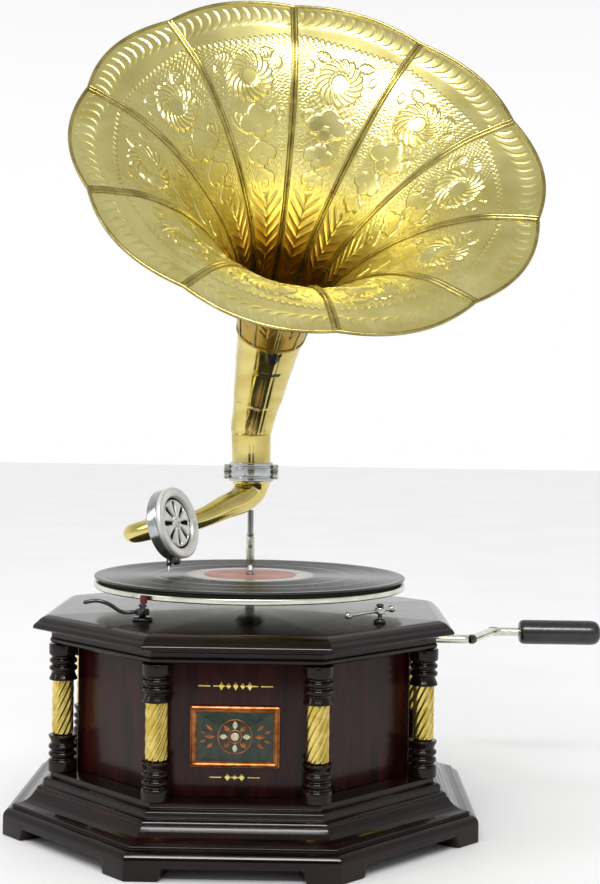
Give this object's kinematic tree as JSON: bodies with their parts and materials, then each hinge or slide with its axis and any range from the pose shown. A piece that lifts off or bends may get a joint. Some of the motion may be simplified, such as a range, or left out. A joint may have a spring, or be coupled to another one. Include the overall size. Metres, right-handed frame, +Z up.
{
  "type": "wind-up phonograph",
  "caption": "Tabletop spring-motor phonograph with an octagonal case, turntable and disc, tone arm, sound box, petal horn and side crank.",
  "frame": {"origin": "bottom centre of the whole object, on the surface the feet stand on", "axes": "+Z up, -Y the case front with the framed panel, +X the crank side"},
  "size_m": [0.499, 0.3728, 0.6745],
  "materials": {
    "dark_wood": "glossy dark mahogany lacquer",
    "brass": "polished and lacquered",
    "gear_brass": "satin machined",
    "chrome": "polished plate",
    "steel": "satin",
    "black_enamel": "gloss black",
    "grip": "gloss black",
    "shellac": "gloss black, grooved",
    "red_felt": "wool felt",
    "green_felt": "wool felt",
    "mica": "thin mica sheet",
    "rubber": "moulded",
    "ornament": "copper-brown border, dark green field",
    "cast_iron": "painted grey"
  },
  "bodies": {
    "case": {"plinth": "dark_wood", "bottom_board": "dark_wood", "cabinet_shell": "dark_wood", "frieze": "dark_wood", "top_board": "dark_wood", "column_1": "dark_wood", "column_2": "dark_wood", "column_3": "dark_wood", "column_4": "dark_wood", "column_5": "dark_wood", "column_6": "dark_wood", "column_7": "dark_wood", "column_8": "dark_wood", "column_sleeve_1": "brass", "column_sleeve_2": "brass", "column_sleeve_3": "brass", "column_sleeve_4": "brass", "column_sleeve_5": "brass", "column_sleeve_6": "brass", "column_sleeve_7": "brass", "column_sleeve_8": "brass", "front_plaque": "ornament", "crank_bushing": "steel", "rod_socket": "steel", "brake_bracket": "black_enamel", "regulator_post": "black_enamel", "motor_bedplate": "cast_iron", "motor_lower_frame": "cast_iron"},
    "turntable": {"platter": "steel", "felt_mat": "green_felt", "record": "shellac", "spindle": "steel"},
    "idler": {"idler_wheel": "gear_brass"},
    "barrel": {"spring_barrel": "steel", "barrel_gear": "gear_brass", "mainspring": "steel"},
    "governor": {"governor": "steel"},
    "crank": {"crank": "steel", "winding_pinion": "steel"},
    "crank_grip": {"crank_grip": "grip"},
    "winding": {"winding_arbor": "steel"},
    "brake": {"brake_lever": "black_enamel", "brake_pad": "red_felt"},
    "regulator": {"regulator_lever": "chrome"},
    "tone_arm": {"tone_arm": "brass", "support_rod": "steel", "horn_collar": "chrome", "collar_screw_left": "steel", "collar_screw_right": "steel"},
    "horn": {"horn_bell": "brass", "horn_cone": "brass", "horn_neck": "brass"},
    "gooseneck": {"gooseneck": "brass", "soundbox_gasket": "rubber"},
    "soundbox": {"soundbox_body": "chrome", "soundbox_front": "chrome", "diaphragm": "mica"},
    "stylus": {"stylus_bar": "steel", "needle": "steel"},
    "needle_screw": {"needle_screw": "black_enamel"}
  },
  "joints": [
    {"name": "turntable_spin", "type": "hinge", "parent": "case", "child": "turntable", "pos_m": [-0.0643, 0.00294, 0.186], "axis": [0, 0, 1], "continuous": true},
    {"name": "idler_spin", "type": "hinge", "parent": "case", "child": "idler", "pos_m": [-0.06247, 0.03329, 0.11], "axis": [0, 0, 1], "continuous": true},
    {"name": "barrel_spin", "type": "hinge", "parent": "case", "child": "barrel", "pos_m": [-0.014, 0.03094, 0.09], "axis": [0, 0, 1], "continuous": true},
    {"name": "governor_spin", "type": "hinge", "parent": "case", "child": "governor", "pos_m": [-0.09099, -0.00677, 0.08], "axis": [0, 0, 1], "continuous": true},
    {"name": "crank_turn", "type": "hinge", "parent": "case", "child": "crank", "pos_m": [0.064, 0.03094, 0.1405], "axis": [1, 0, 0], "continuous": true},
    {"name": "winding_spin", "type": "hinge", "parent": "case", "child": "winding", "pos_m": [-0.014, 0.03094, 0.12], "axis": [0, 0, 1], "continuous": true},
    {"name": "grip_spin", "type": "hinge", "parent": "crank", "child": "crank_grip", "pos_m": [0.176, 0.13094, 0.1328], "axis": [1, 0, 0], "continuous": true},
    {"name": "brake_swing", "type": "hinge", "parent": "case", "child": "brake", "pos_m": [-0.142, -0.08506, 0.175], "axis": [0, 0, 1], "range_deg": [-20, 0]},
    {"name": "regulator_swing", "type": "hinge", "parent": "case", "child": "regulator", "pos_m": [0.039, -0.07906, 0.178], "axis": [0, 0, 1], "range_deg": [-15, 15]},
    {"name": "arm_swing", "type": "hinge", "parent": "case", "child": "tone_arm", "pos_m": [-0.0706, 0.14094, 0.24], "axis": [0, 0, 1], "range_deg": [-45, 9]},
    {"name": "horn_turn", "type": "hinge", "parent": "tone_arm", "child": "horn", "pos_m": [-0.0706, 0.14094, 0.284], "axis": [0, 0, 1], "range_deg": [-120, 120]},
    {"name": "gooseneck_flip", "type": "hinge", "parent": "tone_arm", "child": "gooseneck", "pos_m": [-0.155, 0.05394, 0.2283], "axis": [-0.7711, -0.5932, -0.2313], "range_deg": [0, 140]},
    {"name": "soundbox_turn", "type": "hinge", "parent": "gooseneck", "child": "soundbox", "pos_m": [-0.136, 0.01854, 0.2333], "axis": [0.8761, -0.4141, 0.247], "range_deg": [-60, 0]},
    {"name": "stylus_rock", "type": "hinge", "parent": "soundbox", "child": "stylus", "pos_m": [-0.131, 0.00295, 0.20968], "axis": [0.4817, 0.7748, -0.4095], "range_deg": [-1.5, 1.5], "stiffness_Nm_per_rad": 0.2},
    {"name": "needle_screw_turn", "type": "hinge", "parent": "stylus", "child": "needle_screw", "pos_m": [-0.12737, -0.00157, 0.2054], "axis": [0.8761, -0.4141, 0.247], "range_deg": [0, 360]}
  ],
  "couplings": [
    {"joint": "idler_spin", "follows": "turntable_spin", "ratio": -0.25},
    {"joint": "barrel_spin", "follows": "turntable_spin", "ratio": 0.050781},
    {"joint": "governor_spin", "follows": "turntable_spin", "ratio": -6},
    {"joint": "winding_spin", "follows": "crank_turn", "ratio": 0.33333}
  ]
}
